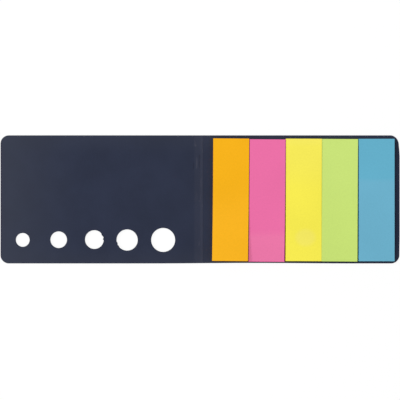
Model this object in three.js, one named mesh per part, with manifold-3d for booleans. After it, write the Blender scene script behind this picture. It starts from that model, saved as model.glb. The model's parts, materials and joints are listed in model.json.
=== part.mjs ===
// A pocket set of sticky page markers in a creased card cover.
//
// Five pads of narrow paper sheets lie side by side on the back panel of the cover. The front panel
// folds over them at two creases, with a narrow spine between the creases, and closes the set like a
// book. A row of round windows runs along the front panel's lower edge, one over each pad, so that
// every colour shows while the cover is shut. The windows grow from the free edge to the spine.
//
// Units are millimetres and +Z is up. The set lies open on its outer face at Z = 0, with its creases
// along Y, the front panel to the left, the pads to the right, and the middle of the whole cover at
// X = 0 and Y = 0.

import * as THREE from "three";
import { mergeVertices } from "three/addons/utils/BufferGeometryUtils.js";
import Module from "manifold-3d";

// Card of the cover
const cardThickness = 0.4;
const cornerRadius = 3.45;

// A crease is pressed into the outer face as a groove, and stands up inside as a bead
const creaseBeadHeight = 0.12;
const creaseBeadWidth = 1.1;
const creaseGrooveDepth = 0.14;
const creaseGrooveWidth = 0.8;
const creaseFacets = 6;

// Sheets of a pad, which are gummed at the upper end and loose at the lower one
const sheetWidth = 14.65;
const sheetLength = 50;
const sheetThickness = 0.1;
const sheetsPerPad = 25;
const gummedLength = 12;
const edgeStagger = 0.05;
const bendFacets = 10;

// Where the row of pads lies on the back panel
const gutter = 4.18;
const outerMargin = 2.41;
const upperMargin = 1.57;
const lowerMargin = 0.93;

// Room between the top of a pad and the closed front panel
const closingRoom = 0.65;

// How far the closed front panel stops short of the back panel's free edge
const frontSetback = 1.06;

// Windows, from the free edge to the spine
const smallestWindow = 5.8;
const windowGrowth = 0.99;
const windowRise = 9.7;
const windowFacets = 40;

// The pads from the spine outwards. `gap` is the space before the pad, `rise` moves it up the panel,
// `turn` is in degrees about Z, `lift` and `sway` are how far the top sheet's loose end springs up and
// swings sideways, and `window` is how far its window lies beyond the pad's middle, outwards.
const pads = [
  {
    name: "orange_pad", colour: 0xf7b321,
    gap: 0, rise: 0.19, turn: -0.4, lift: 0.8, sway: -0.2, window: 1.52,
  },
  {
    name: "pink_pad", colour: 0xec6fa9,
    gap: 0.2, rise: -0.18, turn: -0.4, lift: 0.03, sway: -0.15, window: 1.43,
  },
  {
    name: "yellow_pad", colour: 0xf6eb50,
    gap: 0.265, rise: 0.11, turn: -0.25, lift: 0.08, sway: 0, window: -0.06,
  },
  {
    name: "green_pad", colour: 0xc6e275,
    gap: 0.045, rise: 0, turn: -0.27, lift: 0.1, sway: 0, window: -0.13,
  },
  {
    name: "blue_pad", colour: 0x6bafcb,
    gap: 0.41, rise: 0.06, turn: -0.03, lift: 0.06, sway: 0, window: -0.45,
  },
];
const navy = 0x31374a;
const paperRoughness = 0.85;
const cardRoughness = 0.6;

// Sizes that follow from those above
const padThickness = sheetsPerPad * sheetThickness;
const spineWidth = padThickness + closingRoom;
const padRowWidth = pads.reduce((width, pad) => width + pad.gap + sheetWidth, 0);
const backWidth = gutter + padRowWidth + outerMargin;
const frontWidth = backWidth - frontSetback;
const coverWidth = frontWidth + spineWidth + backWidth;
const coverHeight = lowerMargin + sheetLength + upperMargin;
const frontCreaseX = frontWidth - coverWidth / 2;
const backCreaseX = frontCreaseX + spineWidth;
const padMiddleY = lowerMargin + sheetLength / 2 - coverHeight / 2;
const windowY = windowRise - coverHeight / 2;

const wasm = await Module();
wasm.setup();

function solidOf(geometry) {
  const bare = geometry.clone();
  bare.deleteAttribute("normal");
  bare.deleteAttribute("uv");
  const merged = mergeVertices(bare);
  return new wasm.Manifold(
    new wasm.Mesh({
      numProp: 3,
      vertProperties: new Float32Array(merged.attributes.position.array),
      triVerts: new Uint32Array(merged.index.array),
    }),
  );
}

function geometryOf(solid) {
  const { numProp, vertProperties, triVerts } = solid.getMesh();
  const geometry = new THREE.BufferGeometry();
  const interleaved = new THREE.InterleavedBuffer(vertProperties, numProp);
  geometry.setAttribute("position", new THREE.InterleavedBufferAttribute(interleaved, 3, 0));
  geometry.setIndex(new THREE.BufferAttribute(triVerts, 1));
  const plain = geometry.toNonIndexed();
  plain.computeVertexNormals();
  return plain;
}

function named(name, geometry, colour, roughness) {
  const material = new THREE.MeshStandardMaterial({ color: colour, roughness, metalness: 0 });
  const mesh = new THREE.Mesh(geometry, material);
  mesh.name = name;
  return mesh;
}

// A swell that is full at 0 and fades out smoothly at `reach`
function swell(distance, reach) {
  return 0.5 * (1 + Math.cos((Math.PI * distance) / reach));
}

// One half of a crease's bead or groove: [distance from the crease line, share of its full height]
function halfCrease(reach) {
  return Array.from({ length: creaseFacets + 1 }, (_, i) => {
    const distance = (reach * i) / creaseFacets;
    return [distance, swell(distance, reach)];
  });
}

// The card's section in X and Z between two ends, each of which may be the middle of a crease
function cardSection(left, right, creaseAtLeft, creaseAtRight) {
  const bead = halfCrease(creaseBeadWidth / 2);
  const groove = halfCrease(creaseGrooveWidth / 2);
  const above = ([, share]) => cardThickness + creaseBeadHeight * share;
  const below = ([, share]) => creaseGrooveDepth * share;
  const outline = [];
  if (creaseAtLeft) outline.push(...groove.map((p) => [left + p[0], below(p)]));
  else outline.push([left, 0]);
  if (creaseAtRight) outline.push(...groove.toReversed().map((p) => [right - p[0], below(p)]));
  else outline.push([right, 0]);
  if (creaseAtRight) outline.push(...bead.map((p) => [right - p[0], above(p)]));
  else outline.push([right, cardThickness]);
  if (creaseAtLeft) outline.push(...bead.toReversed().map((p) => [left + p[0], above(p)]));
  else outline.push([left, cardThickness]);
  return new THREE.Shape(outline.map(([x, z]) => new THREE.Vector2(x, z)));
}

// The section carried along Y, over the cover's full height
function cardStrip(section) {
  const strip = new THREE.ExtrudeGeometry(section, { depth: coverHeight, bevelEnabled: false });
  strip.rotateX(Math.PI / 2);
  strip.translate(0, coverHeight / 2, 0);
  return solidOf(strip);
}

// The plan of a panel from its crease to its free edge, whose two corners are round
function panelPlan(creaseX, freeX) {
  const outwards = Math.sign(freeX - creaseX);
  const halfHeight = coverHeight / 2;
  const arcX = freeX - outwards * cornerRadius;
  const arcY = halfHeight - cornerRadius;
  const edgeAngle = outwards > 0 ? 0 : Math.PI;
  const clockwise = outwards < 0;
  const plan = new THREE.Shape();
  plan.moveTo(creaseX, -halfHeight);
  plan.lineTo(arcX, -halfHeight);
  plan.absarc(arcX, -arcY, cornerRadius, -Math.PI / 2, edgeAngle, clockwise);
  plan.lineTo(freeX, arcY);
  plan.absarc(arcX, arcY, cornerRadius, edgeAngle, Math.PI / 2, clockwise);
  plan.lineTo(creaseX, halfHeight);
  plan.closePath();
  return plan;
}

// A plan turned into a cutter that reaches past both faces of the card
function throughCard(plan) {
  const reach = cardThickness + creaseBeadHeight;
  const cutter = new THREE.ExtrudeGeometry(plan, {
    depth: 3 * reach,
    bevelEnabled: false,
    curveSegments: windowFacets / 2,
  });
  cutter.translate(0, 0, -reach);
  return solidOf(cutter);
}

function padMiddleX(index) {
  const before = pads.slice(0, index + 1).reduce((x, pad) => x + pad.gap, gutter);
  return backCreaseX + before + (index + 0.5) * sheetWidth;
}

// Where a pad's window lies on the open front panel: the closed cover brings it over the pad
function windowX(index) {
  const fromCrease = padMiddleX(index) - backCreaseX + pads[index].window;
  return frontCreaseX - fromCrease;
}

function windowDiameter(index) {
  return smallestWindow + (pads.length - 1 - index) * windowGrowth;
}

function frontCover() {
  const freeX = frontCreaseX - frontWidth;
  const plan = panelPlan(frontCreaseX, freeX);
  pads.forEach((_, index) => {
    const window = new THREE.Path();
    window.absarc(windowX(index), windowY, windowDiameter(index) / 2, 0, 2 * Math.PI);
    plan.holes.push(window);
  });
  const strip = cardStrip(cardSection(freeX, frontCreaseX, false, true));
  return geometryOf(strip.intersect(throughCard(plan)));
}

function spine() {
  return geometryOf(cardStrip(cardSection(frontCreaseX, backCreaseX, true, true)));
}

function backCover() {
  const freeX = backCreaseX + backWidth;
  const strip = cardStrip(cardSection(backCreaseX, freeX, true, false));
  return geometryOf(strip.intersect(throughCard(panelPlan(backCreaseX, freeX))));
}

// How far a sheet has sprung away, from 0 along the gummed length to 1 at the loose end
function spring(fromGummedEnd) {
  const loose = Math.max(0, fromGummedEnd - gummedLength) / (sheetLength - gummedLength);
  return loose ** 2;
}

// How far a sheet's edge stands back in the pile, which is nothing for every other sheet
function edgeInset(sheet, padIndex) {
  const fromTop = sheetsPerPad - sheet;
  return fromTop % 2 === 0 ? 0 : edgeStagger * (0.7 + 0.3 * Math.sin(2.4 * sheet + 1.7 * padIndex));
}

// A pad is a box with a row of facets for each sheet. The sheets' edges stand in and out by turns,
// and past the gum the sheets fan up towards their loose ends. The gummed end lies at +Y.
function padGeometry(pad, padIndex) {
  const pile = new THREE.BoxGeometry(
    sheetWidth, sheetLength, padThickness, 1, bendFacets, sheetsPerPad,
  );
  pile.translate(0, 0, padThickness / 2);
  const points = pile.attributes.position;
  for (let i = 0; i < points.count; i += 1) {
    const fromGummedEnd = sheetLength / 2 - points.getY(i);
    const height = points.getZ(i) / padThickness;
    const inset = edgeInset(Math.round(height * sheetsPerPad), padIndex);
    const sprung = height * spring(fromGummedEnd);
    points.setX(i, points.getX(i) * (1 - (2 * inset) / sheetWidth) + pad.sway * sprung);
    points.setY(i, points.getY(i) * (1 - (2 * inset) / sheetLength));
    points.setZ(i, points.getZ(i) + pad.lift * sprung);
  }
  return pile;
}

function padMesh(pad, index) {
  const mesh = named(pad.name, padGeometry(pad, index), pad.colour, paperRoughness);
  mesh.position.set(padMiddleX(index), padMiddleY + pad.rise, cardThickness);
  mesh.rotation.z = THREE.MathUtils.degToRad(pad.turn);
  return mesh;
}

const memoSet = new THREE.Group();
memoSet.add(
  named("front_cover", frontCover(), navy, cardRoughness),
  named("spine", spine(), navy, cardRoughness),
  named("back_cover", backCover(), navy, cardRoughness),
  ...pads.map(padMesh),
);

export default memoSet;
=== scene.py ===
import json
import math
import random

import bmesh
import bpy
from mathutils import Matrix, Vector


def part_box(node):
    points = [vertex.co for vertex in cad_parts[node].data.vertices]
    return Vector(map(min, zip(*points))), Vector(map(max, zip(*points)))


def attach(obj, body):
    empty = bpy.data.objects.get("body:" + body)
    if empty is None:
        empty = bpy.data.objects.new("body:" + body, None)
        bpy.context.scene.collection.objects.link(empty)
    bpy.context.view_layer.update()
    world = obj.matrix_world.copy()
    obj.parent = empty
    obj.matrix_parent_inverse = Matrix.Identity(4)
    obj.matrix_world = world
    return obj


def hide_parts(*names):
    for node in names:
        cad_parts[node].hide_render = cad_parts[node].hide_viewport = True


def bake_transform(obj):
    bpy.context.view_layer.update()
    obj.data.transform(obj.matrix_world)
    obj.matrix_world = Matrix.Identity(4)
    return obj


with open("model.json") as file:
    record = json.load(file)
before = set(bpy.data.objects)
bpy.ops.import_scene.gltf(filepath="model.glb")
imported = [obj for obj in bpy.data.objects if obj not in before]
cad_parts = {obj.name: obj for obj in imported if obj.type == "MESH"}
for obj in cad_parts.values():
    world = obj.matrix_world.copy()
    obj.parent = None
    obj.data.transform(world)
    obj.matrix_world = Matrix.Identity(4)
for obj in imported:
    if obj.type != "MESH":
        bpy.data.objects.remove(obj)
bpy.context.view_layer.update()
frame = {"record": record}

MM = 0.001

# The photograph looks straight down on the open set, which fills its width
LENS = 120
SENSOR = 36
NEAREST_SEEN = 0.01
VIEW_WIDTH = 163.93 * MM
VIEW_RISE = -0.25 * MM
VIEW_ACROSS = -0.03 * MM

# Soft light from the left, and a white table. A lamp has its place and size in metres and its power.
LAMPS = {
    "key": ((-1.35, 0.15, 0.58), 0.25, 9.4),
    "softbox": ((-0.5, 0.3, 1.1), 0.6, 4.1),
}
WORLD_LEVEL = 0.64
TABLE_GLOW = 0.86
TABLE_WHITE = 1.02
TABLE_GREY = (0.9, 0.9, 0.9, 1)
TABLE_HALF = 3
TABLE_DROP = 0.05 * MM

# Card of the cover
CARD = 0.4 * MM
CORNER = 3.45 * MM
CORNER_FACETS = 16
EDGE_ROUNDING = 0.05 * MM
EDGE_FACETS = 2
# Faces that meet at more than this angle, in radians, meet at the card's rim
RIM_ANGLE = 1
GROOVE_DEPTH = 0.14 * MM
GROOVE_HALF = 0.4 * MM
CREASE_STEP = 0.1 * MM
CREASE_ZONE = 1.6 * MM
GRID_STEP = 2.2 * MM
WINDOW_MARGIN = 0.25 * MM
ARCH = 0.22 * MM
# The record's clear box of a window spans this share of its diameter
WINDOW_CLEAR_SHARE = 0.7
# How far each punched window, from the free edge on, lies up the panel from its place, and how far
# its radius falls short
WINDOW_STRAYS = (
    (-0.05 * MM, 0.08 * MM),
    (0.02 * MM, 0.0),
    (0.09 * MM, 0.06 * MM),
    (-0.09 * MM, 0.05 * MM),
    (-0.08 * MM, -0.02 * MM),
)
WINDOW_FACETS = 96
# Faces that meet at more than this angle, in degrees, are shaded with a crisp edge between them
SHARP_ANGLE = 20
# Places in metres that differ by less than this count as the same
SEAM_SLACK = 1e-6
LEVEL_SLACK = 1e-7

# Sheets of a pad. Each lies a little off its neighbours, by at most a shift and a turn in degrees.
SHEET_WIDTH = 14.65 * MM
SHEET_LENGTH = 50 * MM
SHEETS = 25
SHEET_PITCH = 0.1 * MM
SHEET_PAPER = 0.092 * MM
GUMMED = 12 * MM
SHEET_CUTS = 13
LOOSE_SHIFT = 0.035 * MM
LOOSE_TURN = 0.06
FIRST_SEED = 40
# How far the grain of one pad's paper is moved from that of the next
GRAIN_SHIFT = 0.3

# Each pad's turn in degrees, how far its loose end springs up and swings sideways, and its paper
PADS = {
    "orange_pad": {"turn": -0.4, "lift": 0.8 * MM, "sway": -0.2 * MM, "paper": "F5B11A"},
    "pink_pad": {"turn": -0.4, "lift": 0.03 * MM, "sway": -0.15 * MM, "paper": "EA6EA5"},
    "yellow_pad": {"turn": -0.25, "lift": 0.08 * MM, "sway": 0, "paper": "F6EA4E"},
    "green_pad": {"turn": -0.27, "lift": 0.1 * MM, "sway": 0, "paper": "C6E074"},
    "blue_pad": {"turn": -0.03, "lift": 0.06 * MM, "sway": 0, "paper": "6BAFCA"},
}
# Where a pad's paper is a shade off its colour: that shade, and its patches, which are given like the
# marks on the spine below. A strength above 1 makes a patch even in its middle and sharper at its edge.
TONES = {
    "orange_pad": ("F4B012", ((5.5, 27, 60, 36, 0, 1.2),)),
    "pink_pad": ("EB76A7", ((27.5, -27, 60, 15.3, 0, 2.6),)),
    "yellow_pad": (
        "F4E860",
        ((43, -15.6, 5.2, 4.4, 0, 1.4), (43, 27, 60, 25, 0, 0.45), (43, 26, 60, 6.5, 0, 0.8)),
    ),
    "green_pad": ("C9E378", ((57.5, 27, 60, 36, 0, 1.2),)),
    "blue_pad": ("63AEC9", ((72.7, 26, 60, 19.7, 0, 7.5),)),
}
NAVY = "272D40"
# The paler navy of scuffs and wear, and of the painted highlight on the spine
NAVY_WORN_AND_LIT = "54545F"
# The paler navy of the painted sheen towards the free edge and the ends
NAVY_SHEEN = "4E5055"
NAVY_DEEP = "171A28"
# The darkest and the lightest share of a colour in its grain, and what is added to the lightest
NAVY_SHADES = (0.9, 1.1, 0.0)
PAPER_SHADES = (0.94, 1.04, 0.003)
# How far the painted sheen, paler card where the light falls, reaches in from the front panel's free
# edge, and from the head and the foot
SHEEN_REACH = 38 * MM
ENDS_REACH = 9 * MM
PAPER_ROUGHNESS = 0.82
PAPER_SPECULAR = 0.12
CARD_ROUGHNESS = 0.56
CARD_SPECULAR = 0.1
# Depth of the fine grain, and how ragged the marks are across and along the card
PAPER_GRAIN = 0.02 * MM
CARD_GRAIN = 0.025 * MM
RAGGED_ACROSS = 0.9 * MM
RAGGED_ALONG = 3.0 * MM
# The rubbed ridge, partly wear and partly a painted highlight where the bead's slope faces the light,
# lies this far before the rear crease
RIDGE_BEFORE = 0.3 * MM

FRONT_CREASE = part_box("front_cover")[1][0]
BACK_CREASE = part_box("back_cover")[0][0]
SPINE_MIDDLE = (FRONT_CREASE + BACK_CREASE) / 2
FREE_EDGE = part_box("front_cover")[0][0]
HALF_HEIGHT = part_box("front_cover")[1][1]

# A crease stands up inside as a bead: its height, and its reach to the left and to the right. The
# one by the pads is a long slope on the spine that drops sharply at the panel.
BEADS = {
    FRONT_CREASE: (0.01 * MM, 0.5 * MM, 0.8 * MM),
    BACK_CREASE: (0.06 * MM, 1.05 * MM, 0.4 * MM),
}

# Where the card is cut short of its straight outline, on the back panel's free edge and along the
# foot: how far along the edge, how far the cut reaches to each side, and its depth. The card moves in
# by the full depth up to CUT_FULL inside the edge, and not at all from CUT_NONE on.
FREE_EDGE_CUTS = ((25.2 * MM, 8 * MM, 0.5 * MM), (-23 * MM, 9 * MM, 0.12 * MM))
FOOT_CUTS = ((22 * MM, 42 * MM, 0.22 * MM),)
CUT_FULL = 2 * MM
CUT_NONE = 6 * MM

# Paper left standing in two of the windows: which one from the free edge, its angle in degrees,
# how far it spans to each side, and how far it stands in
NIBS = (
    (2, 30, 17, 0.28 * MM),
    (2, 3, 9, 0.36 * MM),
    (3, 197, 11, 0.24 * MM),
    (3, 215, 8, 0.16 * MM),
)

# Marks on the spine: across and along the card in mm, half width and half length in mm, how far the
# mark leans across for each mm along, and its strength
PALE_SCUFFS = (
    (-1.82, 22.1, 0.8, 1.3, -0.25, 0.31),
    (-2.15, 23.5, 0.3, 1.5, -0.25, 0.2),
    (-1.4, 14.7, 0.46, 3.3, 0.03, 0.3),
    (0.99, 20.2, 0.16, 1.3, 0.0, 0.34),
    (0.34, 7.4, 0.5, 3.4, 0.0, 0.24),
    (0.34, 1.2, 0.5, 3.0, 0.0, 0.24),
    (-1.45, 0.8, 1.1, 3.4, 0.1, 0.13),
    (-0.2, -0.6, 0.6, 0.8, 0.0, 0.2),
    (0.99, -2.7, 0.16, 1.8, 0.0, 0.32),
    (-0.38, -17.9, 0.34, 1.7, 0.04, 0.28),
)
DARK_DENTS = (
    (-2.68, 13.9, 0.34, 1.8, 0.12, 0.4),
    (-0.3, 17.4, 0.42, 1.4, 0.0, 0.6),
    (-0.3, 14.6, 0.42, 3.1, 0.0, 0.5),
)


def rgb(code):
    """The linear colour of a six-digit screen colour."""
    shares = [int(code[i : i + 2], 16) / 255 for i in (0, 2, 4)]
    line = [s / 12.92 if s <= 0.04045 else ((s + 0.055) / 1.055) ** 2.4 for s in shares]
    return (*line, 1.0)


class Signal:
    """A number that varies over a surface. Arithmetic on it adds Math nodes to its finish."""

    def __init__(self, finish, socket):
        self.finish = finish
        self.socket = socket

    def math(self, operation, left, right=0.0):
        return self.finish.add("ShaderNodeMath", {"operation": operation}, {0: left, 1: right})["Value"]

    def __add__(self, other):
        return self.math("ADD", self, other)

    def __radd__(self, other):
        return self.math("ADD", other, self)

    def __sub__(self, other):
        return self.math("SUBTRACT", self, other)

    def __rsub__(self, other):
        return self.math("SUBTRACT", other, self)

    def __mul__(self, other):
        return self.math("MULTIPLY", self, other)

    def __rmul__(self, other):
        return self.math("MULTIPLY", other, self)

    def __truediv__(self, other):
        return self.math("DIVIDE", self, other)

    def size(self):
        return self.math("ABSOLUTE", self)

    def most(self, other):
        return self.math("MAXIMUM", self, other)

    def least(self, other):
        return self.math("MINIMUM", self, other)


class Outputs:
    """The outputs of one node, by name or number."""

    def __init__(self, finish, node):
        self.finish = finish
        self.node = node

    def __getitem__(self, key):
        return Signal(self.finish, self.node.outputs[key])


class Finish:
    """The nodes of a material or of the world."""

    def __init__(self, owner):
        self.owner = owner
        owner.use_nodes = True
        self.tree = owner.node_tree
        self.tree.nodes.clear()

    def add(self, kind, settings=None, sockets=None):
        """Adds a node, sets it up, and gives its sockets their values or links."""
        node = self.tree.nodes.new(kind)
        for key, value in (settings or {}).items():
            setattr(node, key, value)
        for key, value in (sockets or {}).items():
            if isinstance(value, Signal):
                self.tree.links.new(value.socket, node.inputs[key])
            else:
                node.inputs[key].default_value = value
        return Outputs(self, node)

    def background_rays(self):
        """1 for what the camera sees straight, in a gloss or through glass, and 0 for light."""
        rays = self.add("ShaderNodeLightPath")
        seen = rays["Is Camera Ray"] + rays["Is Glossy Ray"] + rays["Is Transmission Ray"]
        return seen.least(1.0)

    def place(self):
        return self.add("ShaderNodeTexCoord")["Object"]

    def axes(self, point):
        parts = self.add("ShaderNodeSeparateXYZ", None, {0: point})
        return parts["X"], parts["Y"], parts["Z"]

    def stretched(self, point, scale):
        return self.add("ShaderNodeMapping", None, {"Vector": point, "Scale": scale})["Vector"]

    def moved(self, point, shift):
        return self.add("ShaderNodeMapping", None, {"Vector": point, "Location": shift})["Vector"]

    def noise(self, point, scale, detail=3.0, roughness=0.55):
        sockets = {"Vector": point, "Scale": scale, "Detail": detail, "Roughness": roughness}
        return self.add("ShaderNodeTexNoise", None, sockets)[0]

    def fade(self, value, full, none):
        """1 where the value is at `full`, 0 at `none`, and smooth between them."""
        sockets = {"Value": value, "From Min": full, "From Max": none, "To Min": 1.0, "To Max": 0.0}
        return self.add("ShaderNodeMapRange", {"interpolation_type": "SMOOTHSTEP"}, sockets)["Result"]

    def mixed(self, share, first, second):
        sockets = {0: share, 6: first, 7: second}
        return self.add("ShaderNodeMix", {"data_type": "RGBA"}, sockets)[2]

    def bump(self, height, depth):
        return self.add("ShaderNodeBump", None, {"Height": height, "Distance": depth})["Normal"]

    def surface(self, sockets):
        shader = self.add("ShaderNodeBsdfPrincipled", None, sockets)
        self.add("ShaderNodeOutputMaterial", None, {"Surface": shader["BSDF"]})
        return self.owner


def shades(code, darkest, lightest, lift):
    """The darkest and the lightest shade that the grain gives to a colour."""
    colour = rgb(code)[:3]
    dark = (*[c * darkest for c in colour], 1.0)
    light = (*[min(1.0, c * lightest + lift) for c in colour], 1.0)
    return dark, light


def paper(name, code, toned_code, patches, shift):
    """Matte coloured writing paper: fine fibre, faint clouds, and patches that are a shade off."""
    finish = Finish(bpy.data.materials.new(name))
    place = finish.place()
    x, y, _ = finish.axes(place)
    here = finish.moved(place, (shift, 0, 0))
    clouds = finish.noise(here, 45.0, 1.0)
    fibre = finish.noise(finish.stretched(here, (1.0, 0.35, 1.0)), 5200.0, 4.0, 0.7)
    grain = finish.noise(here, 1400.0, 3.0, 0.6)
    light = finish.fade(clouds * 0.35 + grain * 0.35 + fibre * 0.3, 0.72, 0.28)
    plain, toned = (finish.mixed(light, *shades(shade, *PAPER_SHADES)) for shade in (code, toned_code))
    return finish.surface(
        {
            "Base Color": finish.mixed(marks(finish, x, y, patches).least(1.0), plain, toned),
            "Roughness": grain * 0.1 + PAPER_ROUGHNESS,
            "Specular IOR Level": PAPER_SPECULAR,
            "Normal": finish.bump(fibre * 0.6 + grain * 0.4, PAPER_GRAIN),
        }
    )


def card(name):
    """Navy dyed card with a low sheen, rubbed on the spine, partly a painted highlight, and painted
    paler towards its free edge and ends as a painted sheen.
    """
    finish = Finish(bpy.data.materials.new(name))
    here = finish.place()
    x, y, _ = finish.axes(here)
    clouds = finish.noise(here, 60.0, 3.0)
    grain = finish.noise(here, 2400.0, 4.0, 0.65)
    fibre = finish.noise(finish.stretched(here, (1.0, 0.3, 1.0)), 3800.0, 3.0, 0.7)
    patches = finish.noise(finish.stretched(here, (1.0, 0.25, 1.0)), 900.0, 4.0, 0.7)
    elsewhere = finish.moved(here, (0.3, 0.1, 0))
    ragged_x = x + (finish.noise(here, 1100.0, 3.0, 0.7) - 0.5) * RAGGED_ACROSS
    ragged_y = y + (finish.noise(elsewhere, 500.0, 3.0, 0.7) - 0.5) * RAGGED_ALONG

    past_front = finish.fade(x, FRONT_CREASE + 0.3 * MM, FRONT_CREASE - 0.7 * MM)
    before_back = finish.fade(x, BACK_CREASE + 0.06 * MM, BACK_CREASE + 0.4 * MM)
    ridge = finish.fade((x - (BACK_CREASE - RIDGE_BEFORE)).size(), 0.2 * MM, 1.2 * MM)
    flecks = ridge * finish.fade(patches, 0.62, 0.42) * 0.05
    # Rubbed spine: partly real wear and partly painted highlight, with the spine band and the ridge
    # before the rear crease painted paler where they catch the light
    rubbed_and_lit = past_front * before_back * (flecks + ridge * 0.03 + 0.08)

    scuffs = marks(finish, ragged_x, ragged_y, PALE_SCUFFS)
    broken = finish.fade(patches + grain * 0.4, 0.68, 0.5)
    worn_and_lit = rubbed_and_lit.most(scuffs * (broken * 0.6 + 0.4))
    dents = marks(finish, ragged_x, ragged_y, DARK_DENTS)

    tone = finish.fade(clouds * 0.6 + grain * 0.4, 0.66, 0.34)
    dyed = finish.mixed(tone, *shades(NAVY, *NAVY_SHADES))
    # Painted sheen: the card is painted paler towards the front panel's free edge and towards the head
    # and the foot, where the light falls on it
    edge_sheen = finish.fade(x, FREE_EDGE - SHEEN_REACH / 4, FREE_EDGE + SHEEN_REACH)
    ends_sheen = finish.fade(y.size(), HALF_HEIGHT, HALF_HEIGHT - ENDS_REACH)
    painted_sheen = edge_sheen * 0.22 + ends_sheen * (1.0 - edge_sheen) * 0.08
    plain = finish.mixed(painted_sheen, dyed, rgb(NAVY_SHEEN))
    dented = finish.mixed(dents, plain, rgb(NAVY_DEEP))
    return finish.surface(
        {
            "Base Color": finish.mixed(worn_and_lit, dented, rgb(NAVY_WORN_AND_LIT)),
            "Roughness": worn_and_lit * 0.12 + grain * 0.12 + CARD_ROUGHNESS,
            "Specular IOR Level": CARD_SPECULAR,
            "Normal": finish.bump(grain * 0.5 + fibre * 0.5 - dents * 0.8, CARD_GRAIN),
        }
    )


def marks(finish, x, y, table):
    """Soft-edged long marks on card or paper, the strongest at each point."""
    found = None
    for across, along, half_width, half_length, lean, strength in table:
        beyond = y - along * MM
        wide = (x - beyond * lean - across * MM) / (half_width * MM)
        long = beyond / (half_length * MM)
        mark = finish.fade(wide * wide + long * long, 0.0, 1.0) * strength
        found = mark if found is None else found.most(mark)
    return found


def piece(shape, name, finish):
    """Turns a finished bmesh into an object with smooth faces and crisp edges."""
    bmesh.ops.recalc_face_normals(shape, faces=shape.faces[:])
    mesh = bpy.data.meshes.new(name)
    shape.to_mesh(mesh)
    shape.free()
    mesh.polygons.foreach_set("use_smooth", [True] * len(mesh.polygons))
    mesh.set_sharp_from_angle(angle=math.radians(SHARP_ANGLE))
    mesh.materials.append(finish)
    made = bpy.data.objects.new(name, mesh)
    bpy.context.scene.collection.objects.link(made)
    return made


def swell(distance, reach):
    """Full at 0, fading smoothly to nothing at `reach`."""
    if abs(distance) >= reach:
        return 0.0
    return 0.5 * (1 + math.cos(math.pi * distance / reach))


def windows():
    """Centre and radius of each round window, from the clear boxes that the record states."""
    boxes = [opening["box_m"] for opening in frame["record"]["physics"]["openings"]]
    found = []
    for (low, high), (up, tight) in zip(sorted(boxes), WINDOW_STRAYS):
        centre = Vector(((low[0] + high[0]) / 2, (low[1] + high[1]) / 2 + up, 0))
        radius = (high[0] - low[0]) / WINDOW_CLEAR_SHARE / 2 - tight
        found.append((centre, radius))
    return found


def nib_height(window, outwards):
    """How far the paper stands into a window at a point of its rim."""
    angle = math.degrees(math.atan2(outwards.y, outwards.x))
    height = 0.0
    for place, middle, reach, stand in NIBS:
        away = (angle - middle + 180) % 360 - 180
        if place == window:
            height = max(height, stand * swell(away, reach))
    return height


def reached(face, centre, radius):
    """Whether a flat cell of the card comes within a window or its margin."""
    spans = [[vert.co[axis] for vert in face.verts] for axis in (0, 1)]
    nearest = [min(max(centre[axis], min(span)), max(span)) for axis, span in enumerate(spans)]
    return (Vector((*nearest, 0)) - centre).length < radius + WINDOW_MARGIN


def punch(shape, holes):
    """Clears the cells that the windows reach, and fills from their border to each window's rim."""
    cleared = [face for face in shape.faces if any(reached(face, *hole) for hole in holes)]
    touched = {edge for face in cleared for edge in face.edges}
    bmesh.ops.delete(shape, geom=cleared, context="FACES")
    border = {edge for edge in touched if edge.is_valid}
    for number, (centre, radius) in enumerate(holes):
        place = Matrix.Translation(centre)
        ring = bmesh.ops.create_circle(shape, segments=WINDOW_FACETS, radius=radius, matrix=place)
        for vert in ring["verts"]:
            outwards = vert.co - centre
            vert.co -= outwards.normalized() * nib_height(number, outwards)
            border.update(vert.link_edges)
    in_order = [edge for edge in shape.edges if edge in border]
    bmesh.ops.triangle_fill(shape, edges=in_order, use_beauty=True, normal=(0, 0, 1))


def cut_across(shape, places, normal):
    """Cuts the shape by a plane square to `normal` at each place along it."""
    for place in places:
        everything = shape.verts[:] + shape.edges[:] + shape.faces[:]
        bmesh.ops.bisect_plane(
            shape, geom=everything, dist=LEVEL_SLACK, plane_co=normal * place, plane_no=normal
        )


def steps(start, end, step):
    """Places between `start` and `end`, evenly spaced at about `step`."""
    count = max(1, round((end - start) / step))
    return [start + (end - start) * i / count for i in range(1, count)]


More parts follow.
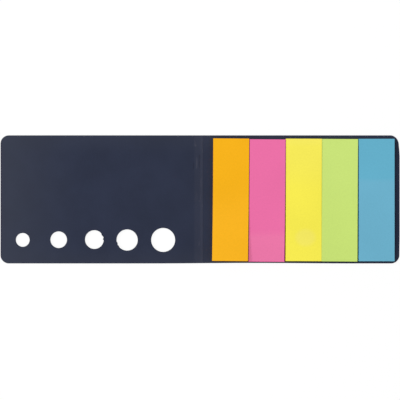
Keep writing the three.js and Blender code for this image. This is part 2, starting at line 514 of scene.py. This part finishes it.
def leaf(name, crease, free, finish, with_windows):
    """Half of the cover, from the middle of the spine over its crease to the panel's free edge."""
    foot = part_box("back_cover")[0][1]
    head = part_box("back_cover")[1][1]
    shape = bmesh.new()
    corners = [(SPINE_MIDDLE, foot), (free, foot), (free, head), (SPINE_MIDDLE, head)]
    rim = [shape.verts.new((x, y, 0)) for x, y in corners]
    shape.faces.new(rim)
    bmesh.ops.bevel(
        shape, geom=rim[1:3], offset=CORNER, segments=CORNER_FACETS, profile=0.5, affect="VERTICES",
        material=-1,
    )
    left, right = sorted((SPINE_MIDDLE, free))
    zone = steps(crease - CREASE_ZONE, crease + CREASE_ZONE, CREASE_STEP)
    cut_across(shape, steps(left, right, GRID_STEP) + zone, Vector((1, 0, 0)))
    cut_across(shape, steps(foot, head, GRID_STEP), Vector((0, 1, 0)))
    if with_windows:
        punch(shape, windows())

    upper = bmesh.ops.extrude_face_region(shape, geom=shape.faces[:])
    raised = [item for item in upper["geom"] if isinstance(item, bmesh.types.BMVert)]
    bmesh.ops.translate(shape, verts=raised, vec=(0, 0, CARD))
    bmesh.ops.recalc_face_normals(shape, faces=shape.faces[:])

    def on_seam(edge):
        return all(abs(v.co.x - SPINE_MIDDLE) < SEAM_SLACK for v in edge.verts)

    def level(edge):
        return abs(edge.verts[0].co.z - edge.verts[1].co.z) < LEVEL_SLACK

    rims = [e for e in shape.edges if e.calc_face_angle(0) > RIM_ANGLE and level(e) and not on_seam(e)]
    bmesh.ops.bevel(
        shape, geom=rims, offset=EDGE_ROUNDING, segments=EDGE_FACETS, profile=0.5, affect="EDGES",
        material=-1, clamp_overlap=True,
    )
    bead_height, bead_left, bead_right = BEADS[crease]
    for vert in shape.verts:
        share = vert.co.z / CARD
        from_crease = vert.co.x - crease
        bead = bead_height * swell(from_crease, bead_left if from_crease < 0 else bead_right)
        groove = GROOVE_DEPTH * swell(from_crease, GROOVE_HALF)
        vert.co.z += share * bead + (1 - share) * groove
        if with_windows:
            vert.co.z += arch(vert.co, crease, free)
        else:
            vert.co.x -= cut_short(free - vert.co.x, vert.co.y, FREE_EDGE_CUTS)
        vert.co.y += cut_short(vert.co.y - foot, vert.co.x, FOOT_CUTS)
    return piece(shape, name, finish)


def cut_short(inside, along, cuts):
    """How far a point of the card moves in from an edge that isn't cut quite straight."""
    share = min(1.0, max(0.0, (CUT_NONE - inside) / (CUT_NONE - CUT_FULL)))
    return share * sum(depth * swell(along - place, reach) for place, reach, depth in cuts)


def arch(point, crease, free):
    """How far the loose front panel stands off the table: most in its middle, nothing at its ends."""
    across = min(1.0, max(0.0, (point.x - crease) / (free - crease)))
    return ARCH * math.sin(math.pi * across) ** 2


def pad(node, number):
    """A pile of cut sheets, gummed at the upper end and springing up a little at the lower one."""
    facts = PADS[node]
    low, high = (Vector(corner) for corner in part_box(node))
    middle = (low + high) / 2
    middle.x -= facts["sway"] / 2
    jitter = random.Random(FIRST_SEED + number)
    trim = Matrix.Diagonal((SHEET_WIDTH - 2 * LOOSE_SHIFT, SHEET_LENGTH - 2 * LOOSE_SHIFT, 1, 1))
    shape = bmesh.new()
    for sheet in range(SHEETS):
        height = sheet / (SHEETS - 1)
        made = bmesh.ops.create_grid(shape, x_segments=1, y_segments=SHEET_CUTS, size=0.5, matrix=trim)
        lower = made["verts"]
        faces = list(dict.fromkeys(face for vert in lower for face in vert.link_faces))
        upper = bmesh.ops.extrude_face_region(shape, geom=faces)["geom"]
        upper = [item for item in upper if isinstance(item, bmesh.types.BMVert)]
        bmesh.ops.translate(shape, verts=upper, vec=(0, 0, SHEET_PAPER))
        shift = Vector((jitter.uniform(-1, 1), jitter.uniform(-1, 1), 0)) * LOOSE_SHIFT
        turn = Matrix.Rotation(math.radians(facts["turn"] + jitter.uniform(-1, 1) * LOOSE_TURN), 4, "Z")
        for vert in lower + upper:
            loose = max(0.0, SHEET_LENGTH / 2 - vert.co.y - GUMMED) / (SHEET_LENGTH - GUMMED)
            sprung = height * loose**2
            vert.co.x += facts["sway"] * sprung
            vert.co.z += CARD + sheet * SHEET_PITCH + facts["lift"] * sprung
            vert.co = turn @ vert.co
            vert.co += shift + Vector((middle.x, middle.y, 0))
    finish = paper(f"{node}_paper", facts["paper"], *TONES[node], GRAIN_SHIFT * number)
    made = piece(shape, f"{node}_sheets", finish)
    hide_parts(node)
    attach(made, "back_cover")


def cover():
    """Both halves of the card, each with a scored crease, meeting in the middle of the spine."""
    finish = card("navy_card")
    front = leaf("front_leaf", FRONT_CREASE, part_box("front_cover")[0][0], finish, True)
    back = leaf("back_leaf", BACK_CREASE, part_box("back_cover")[1][0], finish, False)
    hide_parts("front_cover", "spine")
    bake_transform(front)
    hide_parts("back_cover", "spine")
    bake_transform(back)


def studio():
    """A white table under soft light from the upper left, seen from straight above."""
    scene = bpy.context.scene
    scene.view_settings.view_transform = "Standard"

    camera = bpy.data.cameras.new("camera")
    camera.lens = LENS
    camera.sensor_width = SENSOR
    camera.clip_start = NEAREST_SEEN
    above = VIEW_WIDTH * LENS / SENSOR
    eye = bpy.data.objects.new("camera", camera)
    eye.location = (VIEW_ACROSS, VIEW_RISE, CARD + above)
    scene.collection.objects.link(eye)
    scene.camera = eye

    for name, (place, size, power) in LAMPS.items():
        lamp(name, place, size, power)

    scene.world = bpy.data.worlds.new("daylight")
    sky = Finish(scene.world)
    strength = sky.background_rays() * (1 - WORLD_LEVEL) + WORLD_LEVEL
    light = sky.add("ShaderNodeBackground", None, {"Color": (1, 1, 1, 1), "Strength": strength})
    sky.add("ShaderNodeOutputWorld", None, {"Surface": light["Background"]})

    table = bmesh.new()
    below = Matrix.Translation((0, 0, -TABLE_DROP))
    bmesh.ops.create_grid(table, x_segments=1, y_segments=1, size=TABLE_HALF, matrix=below)
    piece(table, "table", table_finish())


def table_finish():
    """White, with the set's own shadow kept in the part that isn't a plain glow."""
    finish = Finish(bpy.data.materials.new("white_table"))
    matte = finish.add("ShaderNodeBsdfDiffuse", None, {"Color": TABLE_GREY})
    glow = finish.add("ShaderNodeEmission", None, {"Color": (1, 1, 1, 1), "Strength": TABLE_WHITE})
    share = finish.background_rays() * TABLE_GLOW
    both = finish.add("ShaderNodeMixShader", None, {0: share, 1: matte[0], 2: glow[0]})
    finish.add("ShaderNodeOutputMaterial", None, {"Surface": both[0]})
    return finish.owner


def lamp(name, place, size, power):
    """A square lamp that faces the middle of the set."""
    light = bpy.data.lights.new(name, "AREA")
    light.shape = "SQUARE"
    light.size = size
    light.energy = power
    holder = bpy.data.objects.new(name, light)
    holder.location = place
    holder.rotation_euler = (-Vector(place)).to_track_quat("-Z", "Y").to_euler()
    bpy.context.scene.collection.objects.link(holder)


cover()
for number, node in enumerate(PADS):
    pad(node, number)
studio()
